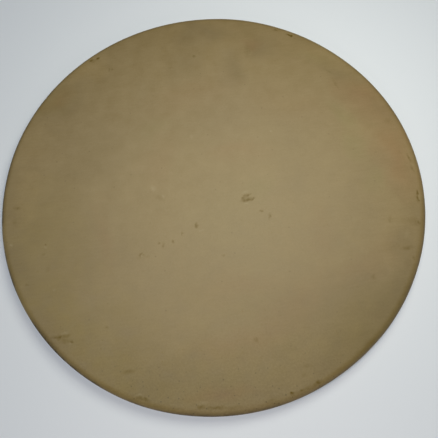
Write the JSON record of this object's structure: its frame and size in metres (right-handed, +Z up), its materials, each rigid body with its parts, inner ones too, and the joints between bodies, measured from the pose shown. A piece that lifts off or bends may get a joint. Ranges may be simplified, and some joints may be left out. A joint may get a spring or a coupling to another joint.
{
  "type": "round baking stone",
  "caption": "Round flat slab of unglazed stoneware with a full round rim and a low foot ring, used as a hot baking surface in an oven.",
  "frame": {"origin": "on the plane that the stone stands on, under the centre of the disc", "axes": "+Z is up, along the disc's axis and out of the baking face; +X and +Y lie in the disc, which is round, so their turn about Z is free"},
  "size_m": [0.381, 0.381, 0.0147],
  "materials": {
    "unglazed_stoneware": "unglazed, seasoned with oil, matte with a dull sheen"
  },
  "bodies": {
    "root": {"baking_stone": "unglazed_stoneware"}
  },
  "joints": []
}
